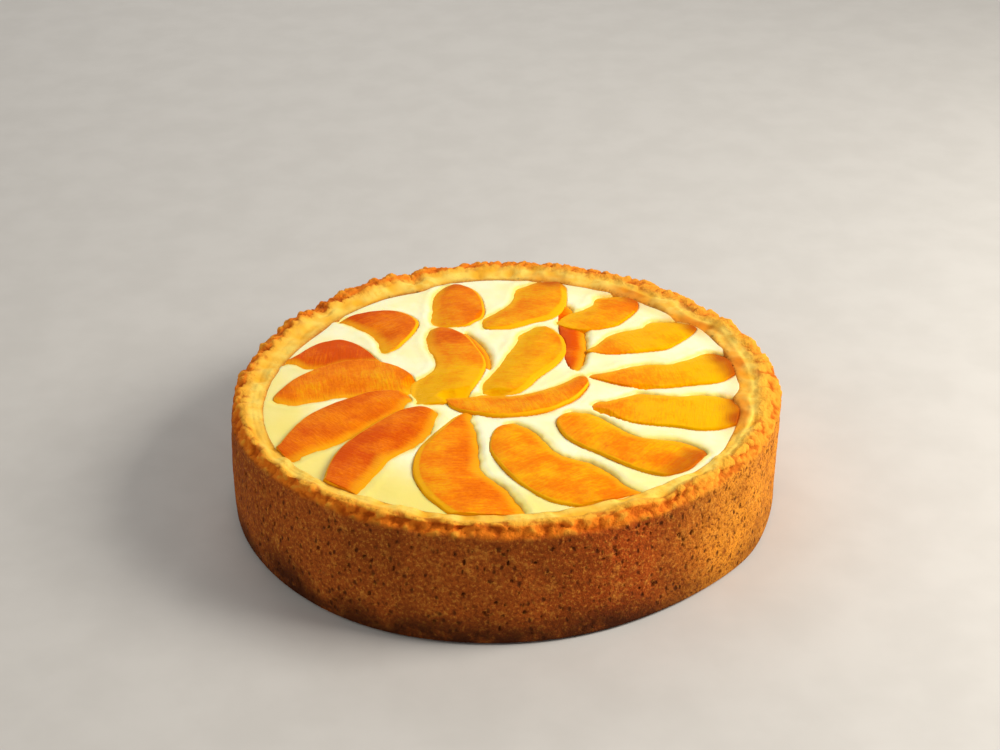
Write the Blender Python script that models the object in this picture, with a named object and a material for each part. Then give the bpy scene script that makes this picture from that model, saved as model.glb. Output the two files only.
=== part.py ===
"""Peach curd cheese pie, 20 cm across, standing on its flat underside.

A deep shortcrust case with a straight wall and a crumbly rim holds a curd cheese
filling, and peach slices lie half sunk in it: a fan of fourteen round the edge and
five more in the middle. Units are metres, +Z is up, and the origin is the middle of
the flat underside.
"""

import math

import bmesh
import bpy
from mathutils import Vector, noise

MM = 0.001

# Driving dimensions of the whole pie
PIE_HEIGHT = 43.6 * MM
FILLING_LEVEL = 42.2 * MM
FILLING_RADIUS = 84 * MM
GAP = 0.3 * MM
CORNER_GAP = 1.1 * MM

# The case
WALL_RADIUS = 100.6 * MM
CASE_FLOOR = 6 * MM
BOTTOM_ROUNDING = 1.6 * MM
CREST_SHARE = 0.4
CASE_SIDES = 144

# Inside corner between wall and floor: how far in from the mouth, how high over the floor
INSIDE_CORNER = ((1.8 * MM, 5.0 * MM), (3.0 * MM, 1.2 * MM), (7.0 * MM, 0.0))

# How far the rim and the edge of the filling stand from the middle, in 18 even steps
# from +X towards +Y: the dough is thinner at the front than at the back
RIM_RADII_MM = (
    (101.2, 99.8, 99.3, 99.9, 99.8, 100.4, 98.8, 98.8, 97.6)
    + (98.4, 98.6, 97.4, 97.0, 96.6, 97.8, 98.6, 99.2, 100.6)
)
MOUTH_RADII_MM = (
    (85.0, 84.5, 81.0, 80.5, 81.0, 82.0, 81.0, 80.5, 81.0)
    + (84.8, 88.5, 89.5, 87.5, 87.8, 86.6, 87.8, 90.3, 87.6)
)

# Crags of the rim: size of a crag and how far it stands out, coarse then fine
CRAGS = ((17 * MM, 1.1 * MM), (7 * MM, 0.9 * MM))
CRAG_SHIFT = Vector((0.3, 0.0, 0.0))
CRAGGY = 0.5
WALL_UNEVENNESS = (24 * MM, 0.5 * MM)

# Where the wall stands out or in: angle in degrees, half width in degrees, how far
WALL_BULGES = ((243, 20, 1.1 * MM), (303, 18, -1.1 * MM), (328, 9, 0.9 * MM))

# Crevices and lumps of the rim: angle in degrees, half width in degrees, rise
RIM_FEATURES = (
    (113, 2.2, -2.4 * MM),
    (121, 5.0, 1.0 * MM),
    (150, 3.2, 1.3 * MM),
    (141, 2.0, -1.5 * MM),
    (303, 2.6, -1.3 * MM),
    (296, 3.5, 1.1 * MM),
    (22, 3.5, 1.2 * MM),
    (340, 2.5, -1.1 * MM),
    (90, 28, 0.5 * MM),
)

# Dough that bulges inwards between the slices: angle, half width, how far
DOUGH_LOBES = (
    (33, 4.0, 2.5 * MM),
    (113, 5.0, 1.8 * MM),
    (349, 3.5, 2.5 * MM),
)

# The filling
FILLING_SIDES = CASE_SIDES // 2
FILLING_RINGS_MM = (76, 71, 65, 58, 49, 39, 28, 15)
MOUTH_DEPTH = 11 * MM
EDGE_DROP = 0.6 * MM
SWELLS = ((15 * MM, 0.8 * MM), (6 * MM, 0.35 * MM))

# A slice of peach: how it is made up across and along
SLICE_DEPTH = 10 * MM
SLICE_DOME = 0.9 * MM
SLICE_TILT = 1.0 * MM
SLICE_STATIONS = 9
ROOM_RISE = 5 * MM
ROOM_REACH = 4  # gaps that a room goes past the dough
SLICE_TOP = (-1.0, -0.55, 0.0, 0.55, 1.0)
SLICE_KEEL = ((0.85, 0.42), (0.2, 1.0), (-0.75, 0.6))

# The slices from the lowest to the topmost, in millimetres: inner tip, outer tip, bow
# of the middle line towards +angle, width, roundness of the two tips (0.2 blunt, 0.5
# round, 1 pointed), lift above the filling, and the side that is raised (-1 is
# clockwise, 1 anticlockwise).
SLICES = (
    ("under_right", (27, 7), (25, 60), -1.5, 10, 0.5, 0.5, -0.3, 1),
    ("under_left", (-5, 9), (-14, 38), -1.0, 6, 0.6, 0.6, -0.2, 1),
    ("west_north", (-45, 16), (-83, 17), -5.5, 21, 0.9, 0.9, 0.0, -1),
    ("north_east", (23, 42), (52, 66), -3.5, 22, 0.4, 0.43, 0.0, -1),
    ("north_west", (-17, 43), (-19, 79), -0.5, 22, 0.35, 0.44, 0.1, -1),
    ("back_west", (-42, 24), (-59, 53), -9.5, 23, 0.5, 0.3, 0.1, -1),
    ("east", (32, 2), (86, 9), -2.5, 23, 0.6, 0.25, 0.1, -1),
    ("east_north", (32, 21), (75, 41), -0.5, 23, 0.8, 0.6, 0.1, -1),
    ("east_south", (32, -19), (85, -26), 0.5, 27, 0.5, 0.25, 0.1, -1),
    ("south_east", (21, -25), (66, -58), -5.0, 23, 0.28, 0.18, 0.2, -1),
    ("south", (0, -31), (40, -82), -7.0, 28, 0.37, 0.2, 0.2, -1),
    ("south_west", (-13, -22), (-3, -91), -10.5, 27, 0.5, 0.16, 0.3, -1),
    ("west", (-31, -1), (-83, -10), -8.0, 28, 0.4, 0.6, 0.3, -1),
    ("north", (-6, 41), (22, 80), -4.5, 25, 0.6, 0.4, 0.4, -1),
    ("west_south", (-34, -9), (-76, -50), -4.5, 21, 0.35, 0.3, 0.6, -1),
    ("middle_right", (17, 41), (-4, -10), 2.5, 19, 0.35, 0.35, 0.4, 1),
    ("middle_left", (-24, 42), (-25, -16), 6.5, 23, 0.4, 0.25, 0.5, 1),
    ("front_west", (-26, -20), (-56, -72), -2.0, 21, 0.3, 0.22, 0.9, -1),
    ("middle_front", (31, 0), (-20, -15), 9.0, 17, 0.28, 0.26, 0.6, 1),
)

# Colours as linear RGB, with the roughness of each surface
CRUST_COLOR = (0.42, 0.16, 0.035)
CRUST_ROUGHNESS = 0.8
CHEESE_COLOR = (0.88, 0.78, 0.42)
CHEESE_ROUGHNESS = 0.35
PEACH_YELLOW = (0.92, 0.36, 0.02)
PEACH_RED = (0.75, 0.12, 0.01)
PEACH_ROUGHNESS = 0.3


def clear_scene():
    for obj in list(bpy.data.objects):
        bpy.data.objects.remove(obj, do_unlink=True)


def new_material(name, color, roughness):
    material = bpy.data.materials.new(name)
    material.use_nodes = True
    shader = material.node_tree.nodes["Principled BSDF"]
    shader.inputs["Base Color"].default_value = (*color, 1.0)
    shader.inputs["Roughness"].default_value = roughness
    shader.inputs["Metallic"].default_value = 0.0
    return material


def new_object(name, points, faces, material):
    """An object from points and faces, with the faces turned outwards and shaded smooth."""
    mesh = bpy.data.meshes.new(name)
    mesh.from_pydata([tuple(point) for point in points], [], faces)
    shape = bmesh.new()
    shape.from_mesh(mesh)
    bmesh.ops.recalc_face_normals(shape, faces=shape.faces)
    shape.to_mesh(mesh)
    shape.free()
    mesh.materials.append(material)
    mesh.shade_smooth()
    obj = bpy.data.objects.new(name, mesh)
    bpy.context.scene.collection.objects.link(obj)
    return obj


def ring_faces(rings, sides):
    """Faces of a closed skin: a pole, rings of points one after another, and a second pole."""
    last = rings * sides + 1
    faces = []
    for side in range(sides):
        after = (side + 1) % sides
        faces.append((0, 1 + after, 1 + side))
        for ring in range(rings - 1):
            low = 1 + ring * sides
            high = low + sides
            faces.append((low + side, low + after, high + after, high + side))
        top = 1 + (rings - 1) * sides
        faces.append((top + side, top + after, last))
    return faces


def loft_faces(sections, sides):
    """Faces of a skin over sections of equal size, with a flat face at either end."""
    faces = []
    for section in range(sections - 1):
        low = section * sides
        for side in range(sides):
            after = (side + 1) % sides
            faces.append((low + side, low + after, low + sides + after, low + sides + side))
    faces.append(tuple(range(sides)))
    faces.append(tuple(range((sections - 1) * sides, sections * sides)))
    return faces


def swell(point, size, height):
    """Smooth unevenness of about this size, between minus and plus this height."""
    return height * noise.noise(point / size)


def bump(angle, features):
    """The sum of smooth humps, each (angle in degrees, half width in degrees, height)."""
    total = 0.0
    for centre, half_width, height in features:
        away = (math.degrees(angle) - centre + 180) % 360 - 180
        total += height * math.exp(-((away / half_width) ** 2))
    return total


def round_curve(radii_mm, angle):
    """The radius at one angle of a smooth closed curve through radii in even steps."""
    count = len(radii_mm)
    place = (angle / math.tau * count) % count
    start = int(place)
    t = place - start
    a, b, c, d = (radii_mm[(start + step) % count] for step in (-1, 0, 1, 2))
    curve = b + 0.5 * t * (c - a + t * (2 * a - 5 * b + 4 * c - d + t * (3 * (b - c) + d - a)))
    return curve * MM


def mouth_radius(angle):
    """Where the dough meets the filling: straight from one corner of the filling to the next.

    The side between corners r0 and r1, a step apart, is crossed t past the first at
    r0 r1 sin(step) / (r0 sin(t) + r1 sin(step - t)).
    """
    step = math.tau / FILLING_SIDES
    corner = math.floor(angle / step)
    t = angle - corner * step
    ends = (corner * step, (corner + 1) * step)
    r0, r1 = (round_curve(MOUTH_RADII_MM, end) - bump(end, DOUGH_LOBES) for end in ends)
    return r0 * r1 * math.sin(step) / (r0 * math.sin(t) + r1 * math.sin(step - t))


def case_profile(angle):
    """The case's section at one angle, from under the edge, up the wall and down inside."""
    rim = round_curve(RIM_RADII_MM, angle)
    mouth = mouth_radius(angle)
    inset = CREST_SHARE * (rim - mouth)
    crest = PIE_HEIGHT + bump(angle, RIM_FEATURES)
    wall = WALL_RADIUS + bump(angle, WALL_BULGES)
    lean = rim - wall
    return (
        (wall - BOTTOM_ROUNDING, 0.0, 0.0),
        (wall - 0.3 * BOTTOM_ROUNDING, 0.3 * BOTTOM_ROUNDING, 0.1),
        (wall, BOTTOM_ROUNDING, 0.3),
        (wall, 10 * MM, 0.4),
        (wall + 0.2 * lean, 19 * MM, 0.4),
        (wall + 0.5 * lean, 28 * MM, 0.4),
        (wall + 0.9 * lean, 35.5 * MM, 0.6),
        (rim + 0.2 * MM, 39.5 * MM, 1.0),
        (rim - 1.6 * MM, crest - 2.0 * MM, 1.0),
        (rim - 0.55 * inset, crest - 0.5 * MM, 1.0),
        (rim - inset, crest, 1.0),
        (rim - 1.5 * inset, crest - 0.4 * MM, 0.9),
        (mouth + 0.8 * inset - 0.5 * MM, FILLING_LEVEL + 0.9 * MM, 0.6),
        (mouth, FILLING_LEVEL - 0.2 * MM, 0.0),
        (mouth, FILLING_LEVEL - MOUTH_DEPTH, 0.0),
        *((FILLING_RADIUS - inwards, CASE_FLOOR + up, 0.0) for inwards, up in INSIDE_CORNER),
    )


def make_case(material):
    """The pastry case: its section turned round the middle, with crags on what is bare."""
    sections = [case_profile(math.tau * side / CASE_SIDES) for side in range(CASE_SIDES)]
    rings = len(sections[0])
    points = [Vector((0.0, 0.0, 0.0))]
    for ring in range(rings):
        for side in range(CASE_SIDES):
            angle = math.tau * side / CASE_SIDES
            radius, height, rough = sections[side][ring]
            outward = Vector((math.cos(angle), math.sin(angle), 0.0))
            point = radius * outward + Vector((0.0, 0.0, height))
            out = swell(point, *WALL_UNEVENNESS)
            rise = 0.0
            if rough > CRAGGY:
                out += sum(swell(point + CRAG_SHIFT, *crag) for crag in CRAGS)
                rise = sum(swell(point, *crag) for crag in CRAGS)
            point += rough * (out * outward + Vector((0.0, 0.0, rise)))
            points.append(point)
    points.append(Vector((0.0, 0.0, CASE_FLOOR)))
    return new_object("crust", points, ring_faces(rings, CASE_SIDES), material)


def make_filling(material):
    """The curd cheese: it fills the case up to a gently swelling top."""
    angles = [math.tau * side / FILLING_SIDES for side in range(FILLING_SIDES)]
    rings = []
    for inwards, up in reversed(INSIDE_CORNER):
        rings.append([(FILLING_RADIUS - inwards - CORNER_GAP, CASE_FLOOR + up + GAP)] * FILLING_SIDES)
    for height in (FILLING_LEVEL - MOUTH_DEPTH, FILLING_LEVEL - EDGE_DROP):
        rings.append([(mouth_radius(angle) - GAP, height) for angle in angles])
    for radius in FILLING_RINGS_MM:
        rings.append([(radius * MM, FILLING_LEVEL)] * FILLING_SIDES)
    points = [Vector((0.0, 0.0, CASE_FLOOR + GAP))]
    for ring in rings:
        for angle, (radius, height) in zip(angles, ring):
            point = Vector((radius * math.cos(angle), radius * math.sin(angle), height))
            if height == FILLING_LEVEL:
                point.z += sum(swell(point, *waves) for waves in SWELLS)
            points.append(point)
    points.append(Vector((0.0, 0.0, FILLING_LEVEL)))
    return new_object("curd_filling", points, ring_faces(len(rings), FILLING_SIDES), material)


def slice_section(across, fullness, lift, raised, growth):
    """One cross-section of a slice as (place across, height): domed on top, a wedge below.

    A grown section is that of the room the slice takes: open at the top, clear on all sides.
    """
    level = FILLING_LEVEL + lift
    size = fullness**0.6
    reach = across + growth
    tilt = size * SLICE_TILT * raised
    if growth:
        top = level + ROOM_RISE
        section = [(-reach, top - tilt), (reach, top + tilt), (reach, level + tilt)]
    else:
        heights = [tilt * place + size * SLICE_DOME * (1 - place * place) for place in SLICE_TOP]
        section = [(reach * place, level + height) for place, height in zip(SLICE_TOP, heights)]
    for place, depth in SLICE_KEEL:
        section.append((reach * place, level - size * SLICE_DEPTH * depth - growth))
    if growth:
        section.append((-reach, level - tilt))
    return section


def make_slice(name, form, material, growth=0.0):
    """A peach slice: sections set along a bowed line from the inner tip to the outer one.

    The half width grows as s^tip_in and falls as (1-s)^tip_out along the line, and no
    point passes the dough.
    """
    inner, outer, bow, width, tip_in, tip_out, lift, raised = form
    start = Vector((*inner, 0.0)) * MM
    end = Vector((*outer, 0.0)) * MM
    line = end - start
    left = Vector((-line.y, line.x, 0.0)).normalized()
    widest = tip_in / (tip_in + tip_out)
    points = []
    for station in range(1, SLICE_STATIONS + 1):
        s = 0.5 - 0.5 * math.cos(math.pi * station / (SLICE_STATIONS + 1))
        fullness = (s / widest) ** tip_in * ((1 - s) / (1 - widest)) ** tip_out
        middle = start + s * line + 4 * s * (1 - s) * bow * MM * left
        if station in (1, SLICE_STATIONS):
            middle += line.normalized() * growth * (1 if station > 1 else -1)
        section = slice_section(0.5 * width * MM * fullness, fullness, lift * MM, raised, growth)
        points += [middle + across * left + Vector((0.0, 0.0, height)) for across, height in section]
    for point in points:
        flat = math.hypot(point.x, point.y)
        limit = mouth_radius(math.atan2(point.y, point.x)) - GAP + ROOM_REACH * growth
        if flat > limit:
            point.x *= limit / flat
            point.y *= limit / flat
    return new_object(name, points, loft_faces(SLICE_STATIONS, len(section)), material)


def make_room(name, form, material):
    """A hidden cutter of the room that a slice takes in its neighbours and the filling."""
    cutter = make_slice(name + "_room", form, material, growth=GAP)
    cutter.hide_render = True
    cutter.display_type = "WIRE"
    return cutter


def cutter_group(cutters):
    """A collection that holds the cutters, so that one Boolean can take them all."""
    group = bpy.data.collections.new("cutters")
    for cutter in cutters:
        group.objects.link(cutter)
    return group


def boxes_meet(first, second):
    """Whether the two objects' boxes meet, seen from above."""
    spans = []
    for obj in (first, second):
        for axis in (0, 1):
            places = [vert.co[axis] for vert in obj.data.vertices]
            spans.append((min(places), max(places)))
    across = spans[0][0] < spans[2][1] and spans[2][0] < spans[0][1]
    along = spans[1][0] < spans[3][1] and spans[3][0] < spans[1][1]
    return across and along


def cut(obj, cutters):
    """Cuts the cutters' space out of an object for good."""
    modifier = obj.modifiers.new("cut", "BOOLEAN")
    modifier.operation = "DIFFERENCE"
    modifier.solver = "EXACT"
    modifier.operand_type = "COLLECTION"
    modifier.collection = cutter_group(cutters)
    bpy.context.view_layer.update()
    graph = bpy.context.evaluated_depsgraph_get()
    carved = bpy.data.meshes.new_from_object(obj.evaluated_get(graph))
    bpy.data.collections.remove(modifier.collection)
    obj.modifiers.remove(modifier)
    obj.data = carved


def drop_scraps(obj):
    """Keeps an object's largest body, and takes out scraps that the cuts left loose."""
    shape = bmesh.new()
    shape.from_mesh(obj.data)
    unseen = set(shape.faces)
    bodies = []
    while unseen:
        body = []
        front = [unseen.pop()]
        while front:
            face = front.pop()
            body.append(face)
            beside = {other for edge in face.edges for other in edge.link_faces} & unseen
            unseen -= beside
            front.extend(beside)
        bodies.append(body)
    bodies.sort(key=len)
    scraps = [face for body in bodies[:-1] for face in body]
    bmesh.ops.delete(shape, geom=scraps, context="FACES")
    shape.to_mesh(obj.data)
    shape.free()
    obj.data.shade_smooth()


def peach_material(name, angle):
    """Redder towards the left of the pie, yellower towards the right."""
    redness = 0.5 - 0.5 * math.cos(angle)
    color = [(1 - redness) * yellow + redness * red for yellow, red in zip(PEACH_YELLOW, PEACH_RED)]
    return new_material(name, color, PEACH_ROUGHNESS)


def main():
    clear_scene()
    make_case(new_material("crust", CRUST_COLOR, CRUST_ROUGHNESS))
    filling = make_filling(new_material("curd_filling", CHEESE_COLOR, CHEESE_ROUGHNESS))
    slices = []
    cutters = []
    for place, *form in SLICES:
        name = "peach_" + place
        (x0, y0), (x1, y1) = form[:2]
        material = peach_material(name, math.atan2(y0 + y1, x0 + x1))
        slices.append(make_slice(name, form, material))
        cutters.append(make_room(name, form, material))
    for lower, obj in enumerate(slices):
        above = [cutter for cutter in cutters[lower + 1 :] if boxes_meet(obj, cutter)]
        if above:
            cut(obj, above)
            drop_scraps(obj)
    cut(filling, cutters)
    drop_scraps(filling)
    for cutter in cutters:
        bpy.data.objects.remove(cutter, do_unlink=True)


main()
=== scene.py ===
import math
from collections import namedtuple

import bpy
import numpy as np
from mathutils import Matrix


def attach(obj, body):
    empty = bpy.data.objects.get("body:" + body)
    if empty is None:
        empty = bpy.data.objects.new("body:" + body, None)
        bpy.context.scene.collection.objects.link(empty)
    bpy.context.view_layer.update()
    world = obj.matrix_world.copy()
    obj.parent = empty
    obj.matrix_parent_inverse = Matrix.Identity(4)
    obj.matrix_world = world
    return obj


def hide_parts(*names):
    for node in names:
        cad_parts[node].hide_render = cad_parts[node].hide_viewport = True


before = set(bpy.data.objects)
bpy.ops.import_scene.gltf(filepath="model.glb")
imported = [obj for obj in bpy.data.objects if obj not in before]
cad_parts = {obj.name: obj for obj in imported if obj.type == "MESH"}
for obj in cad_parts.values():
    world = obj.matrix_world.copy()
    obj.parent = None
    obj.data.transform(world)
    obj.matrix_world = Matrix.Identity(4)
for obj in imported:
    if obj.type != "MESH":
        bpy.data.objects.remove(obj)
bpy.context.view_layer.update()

mm = 0.001
fullTurn = 2 * math.pi

# The whole pie, all in millimetres: origin in the middle of the flat underside, +Z up
pie = {
    "height": 43.6,
    "fillingLevel": 42.2,
    "mouthDepth": 11.0,  # how far down the mouth goes straight
    "insideRadius": 84.0,
    "mouthRadii": (  # every 20 degrees from +X towards +Y
        (85.0, 84.5, 81.0, 80.5, 81.0, 82.0, 81.0, 80.5, 81.0)
        + (84.8, 88.5, 89.5, 87.5, 87.8, 86.6, 87.8, 90.3, 87.6)
    ),
    # Lobes of dough that bulge inwards: degrees, half width, height
    "doughLobes": ((33, 4.0, 2.5), (113, 5.0, 1.8), (349, 3.5, 2.5)),
}


# Helpers for shapes

randomness = {
    "slopeSeed": 5,
    "spotSeed": 8,
    "swellGain": 1.6,  # brings the swells up to about -1 to 1
    "swellStep": 17.3,  # how far one seed number moves the swells, in cells
    "cobbleStep": 13.7,  # and the cobbles
}


# A shuffled row of numbers and one unit slope for each, for the swells below
def slopeTable(seed):
    draw = np.random.RandomState(seed)
    slopes = draw.normal(size=(256, 3))
    return draw.permutation(256), slopes / np.linalg.norm(slopes, axis=1, keepdims=True)


shuffle, slopes = slopeTable(randomness["slopeSeed"])
cobbleSpots = np.random.RandomState(randomness["spotSeed"]).uniform(size=(256, 4))


# One number from 0 to 255 for each cell of a cubic grid, the same at every run
def cellNumber(cell):
    c = cell & 255
    return shuffle[(shuffle[(shuffle[c[..., 0]] + c[..., 1]) & 255] + c[..., 2]) & 255]


# Smooth noise from about -1 to 1: every corner of a cell pulls with its own slope, and
# the pulls are blended by t cubed (6 t squared - 15 t + 10)
def swell(points, size, seed=0):
    place = points / size + randomness["swellStep"] * seed
    cell = np.floor(place).astype(np.int64)
    t = place - cell
    blend = t**3 * (t * (6 * t - 15) + 10)
    total = np.zeros(points.shape[:-1])
    for corner in np.ndindex(2, 2, 2):
        step = np.array(corner)
        pull = (slopes[cellNumber(cell + step)] * (t - step)).sum(-1)
        total += pull * np.where(step == 1, blend, 1 - blend).prod(-1)
    return randomness["swellGain"] * total


# The sum of swells, each of (size, height)
def swells(points, layers, seed):
    return sum(height * swell(points, size, seed) for size, height in layers)


# One point scattered in each cell: the distance to the nearest, in cells, and a random
# number from 0 to 1 that belongs to it
def cobbles(points, size, seed=0):
    place = points / size + randomness["cobbleStep"] * seed
    home = np.floor(place).astype(np.int64)
    near = np.full(points.shape[:-1], np.inf)
    tag = np.zeros_like(near)
    for step in np.ndindex(3, 3, 3):
        cell = home + np.array(step) - 1
        spot = cobbleSpots[cellNumber(cell)]
        away = np.linalg.norm(place - cell - spot[..., :3], axis=-1)
        tag = np.where(away < near, spot[..., 3], tag)
        near = np.minimum(near, away)
    return near, tag


# 0 below low, 1 above high, and t squared (3 - 2 t) between them
def ease(low, high, value):
    t = np.clip((value - low) / (high - low), 0, 1)
    return t * t * (3 - 2 * t)


# The sum of smooth humps, each of (degrees, half width in degrees, height)
def humps(angle, features):
    total = np.zeros_like(angle)
    for centre, halfWidth, height in features:
        away = (np.degrees(angle) - centre + 180) % 360 - 180
        total += height * np.exp(-((away / halfWidth) ** 2))
    return total


# A smooth curve through keys, read at key numbers with a fraction (Catmull-Rom)
def throughKeys(keys, places):
    start = np.clip(np.floor(places).astype(int), 0, len(keys) - 2)
    t = (places - start).reshape(places.shape + (1,) * (keys.ndim - 1))
    a, b, c, d = (keys[np.clip(start + step, 0, len(keys) - 1)] for step in (-1, 0, 1, 2))
    return b + 0.5 * t * (c - a + t * (2 * a - 5 * b + 4 * c - d + t * (3 * (b - c) + d - a)))


# The radius at any angle of a smooth closed curve through radii in even steps
def roundCurve(radii, angle):
    keys = np.array(radii[-1:] + radii + radii[:3])
    return throughKeys(keys, (angle % fullTurn) / fullTurn * len(radii) + 1)


# Where the dough meets the filling: a closed curve less the lobes of dough
def mouthRadius(angle):
    return roundCurve(pie["mouthRadii"], angle) - humps(angle, pie["doughLobes"])


# A piece from points in millimetres. Its faces are turned to point outwards if the volume
# they enclose, the sum of their corners' triple products, comes out below 0.
def makePiece(name, points, quads, triangles, material, values=None, uv=None):
    corners = points[triangles[:, :3]]
    quadCorners = points[quads]
    volume = np.einsum("ij,ij->i", corners[:, 0], np.cross(corners[:, 1], corners[:, 2])).sum()
    for b, c in ((1, 2), (2, 3)):
        side = np.cross(quadCorners[:, b], quadCorners[:, c])
        volume += np.einsum("ij,ij->i", quadCorners[:, 0], side).sum()
    if volume < 0:
        quads, triangles = quads[:, ::-1], triangles[:, ::-1]
    loops = np.concatenate([quads.ravel(), triangles.ravel()])
    starts = np.concatenate([4 * np.arange(len(quads)), 4 * len(quads) + 3 * np.arange(len(triangles))])
    mesh = bpy.data.meshes.new(name)
    mesh.vertices.add(len(points))
    mesh.vertices.foreach_set("co", (points * mm).astype(np.float32).ravel())
    mesh.loops.add(len(loops))
    mesh.loops.foreach_set("vertex_index", loops.astype(np.int32))
    mesh.polygons.add(len(starts))
    mesh.polygons.foreach_set("loop_start", starts.astype(np.int32))
    mesh.update(calc_edges=True)
    mesh.shade_smooth()
    for label, value in (values or {}).items():
        layer = mesh.attributes.new(label, "FLOAT", "POINT")
        layer.data.foreach_set("value", value.astype(np.float32).ravel())
    if uv is not None:
        layer = mesh.uv_layers.new(name="along")
        layer.data.foreach_set("uv", uv[loops].astype(np.float32).ravel())
    mesh.materials.append(material)
    piece = bpy.data.objects.new(name, mesh)
    bpy.context.scene.collection.objects.link(piece)
    return piece


# Faces over rings of points, closed round and closed at both ends on a pole. The poles
# are the last two points.
def skinFaces(rings, sides):
    ring = np.arange(rings - 1)[:, None] * sides
    side = np.arange(sides)[None, :]
    after = (side + 1) % sides
    quads = np.stack([ring + side, ring + after, ring + sides + after, ring + sides + side], -1)
    side, after = side[0], after[0]
    last = (rings - 1) * sides
    pole = np.full(sides, rings * sides)
    first = np.stack([after, side, pole], -1)
    final = np.stack([last + side, last + after, pole + 1], -1)
    return quads.reshape(-1, 4), np.concatenate([first, final])


# Helpers for materials

# A material being wired: small calls that add one node and give its output
class Finish:
    def __init__(self, name):
        self.material = bpy.data.materials.new(name)
        self.material.use_nodes = True
        self.tree = self.material.node_tree
        self.shader = self.tree.nodes["Principled BSDF"]
        self.coordinates = self.node("ShaderNodeTexCoord").outputs

    def node(self, kind, **settings):
        node = self.tree.nodes.new(kind)
        for key, value in settings.items():
            setattr(node, key, value)
        return node

    def feed(self, socket, value):
        if isinstance(value, bpy.types.NodeSocket):
            self.tree.links.new(value, socket)
        elif socket.type == "RGBA":
            socket.default_value = (*value, 1.0)
        else:
            socket.default_value = value

    def attribute(self, label):
        return self.node("ShaderNodeAttribute", attribute_name=label).outputs["Fac"]

    def stretched(self, source, scale):
        mapping = self.node("ShaderNodeMapping")
        self.feed(mapping.inputs["Vector"], source)
        self.feed(mapping.inputs["Scale"], scale)
        return mapping.outputs["Vector"]

    def noise(self, source, scale, detail=3.0, roughness=0.55, distortion=0.0):
        node = self.node("ShaderNodeTexNoise")
        self.feed(node.inputs["Vector"], source)
        self.feed(node.inputs["Scale"], scale)
        self.feed(node.inputs["Detail"], detail)
        self.feed(node.inputs["Roughness"], roughness)
        self.feed(node.inputs["Distortion"], distortion)
        return node.outputs["Fac"]

    # The source pushed about by a noise of this scale, so that round spots come out uneven
    def uneven(self, source, scale, amount):
        noise = self.node("ShaderNodeTexNoise")
        self.feed(noise.inputs["Vector"], source)
        self.feed(noise.inputs["Scale"], scale)
        push = self.node("ShaderNodeVectorMath", operation="MULTIPLY_ADD")
        self.feed(push.inputs[0], noise.outputs["Color"])
        self.feed(push.inputs[1], (amount,) * 3)
        self.feed(push.inputs[2], source)
        return push.outputs["Vector"]

    # Spots scattered one to a cell: 1 at their middles, 0 from their edges outwards
    def spots(self, source, scale, radius, softness):
        node = self.node("ShaderNodeTexVoronoi")
        self.feed(node.inputs["Vector"], source)
        self.feed(node.inputs["Scale"], scale)
        return self.spread(node.outputs["Distance"], radius - softness, radius, 1.0, 0.0)

    def spread(self, value, low, high, lowOut=0.0, highOut=1.0, kind="SMOOTHSTEP"):
        node = self.node("ShaderNodeMapRange", interpolation_type=kind)
        self.feed(node.inputs["Value"], value)
        self.feed(node.inputs["From Min"], low)
        self.feed(node.inputs["From Max"], high)
        self.feed(node.inputs["To Min"], lowOut)
        self.feed(node.inputs["To Max"], highOut)
        return node.outputs["Result"]

    def math(self, operation, first, second):
        node = self.node("ShaderNodeMath", operation=operation)
        self.feed(node.inputs[0], first)
        self.feed(node.inputs[1], second)
        return node.outputs[0]

    def mix(self, share, first, second):
        node = self.node("ShaderNodeMix", data_type="RGBA")
        self.feed(node.inputs["Factor"], share)
        colours = [socket for socket in node.inputs if socket.type == "RGBA"]
        self.feed(colours[0], first)
        self.feed(colours[1], second)
        return [socket for socket in node.outputs if socket.type == "RGBA"][0]

    # One colour over another, more as the value goes from low to high, up to most
    def layer(self, under, over, value, low, high, most=1.0):
        return self.mix(self.spread(value, low, high, 0.0, most), under, over)

    # One colour over another by a share of the value
    def tint(self, under, over, value, share):
        return self.mix(self.math("MULTIPLY", value, share), under, over)

    def bump(self, height, distance, strength=1.0, below=None):
        node = self.node("ShaderNodeBump")
        self.feed(node.inputs["Height"], height)
        self.feed(node.inputs["Distance"], distance)
        self.feed(node.inputs["Strength"], strength)
        if below is not None:
            self.feed(node.inputs["Normal"], below)
        return node.outputs["Normal"]

    def done(self, colour, normal=None, **plain):
        self.feed(self.shader.inputs["Base Color"], colour)
        if normal is not None:
            self.feed(self.shader.inputs["Normal"], normal)
        for key, value in plain.items():
            self.feed(self.shader.inputs[key.replace("_", " ")], value)
        return self.material


# The camera, at the angle of the photograph

view = {
    "place": (0.0, -0.57222, 0.37096),  # metres
    "turn": -0.0013,  # radians, from looking along +Y
    "down": 0.5178,
    "roll": -0.0226,
    "lens": 64.8,  # millimetres
    "sensor": 36.0,
}


# Looks along (sin turn cos down, cos turn cos down, -sin down), rolled about that line
def makeCamera():
    turn, down, roll = view["turn"], view["down"], view["roll"]
    ahead = np.array([math.sin(turn) * math.cos(down), math.cos(turn) * math.cos(down), -math.sin(down)])
    right = np.array([math.cos(turn), -math.sin(turn), 0.0])
    up = np.cross(right, ahead)
    rolledRight = math.cos(roll) * right + math.sin(roll) * up
    rolledUp = math.cos(roll) * up - math.sin(roll) * right
    camera = bpy.data.objects.new("camera", bpy.data.cameras.new("camera"))
    camera.data.lens = view["lens"]
    camera.data.sensor_width = view["sensor"]
    columns = np.stack([rolledRight, rolledUp, -ahead, view["place"]], axis=1)
    camera.matrix_world = Matrix([*columns.tolist(), [0, 0, 0, 1]])
    bpy.context.scene.collection.objects.link(camera)
    bpy.context.scene.camera = camera


makeCamera()
print("camera set")


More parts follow.
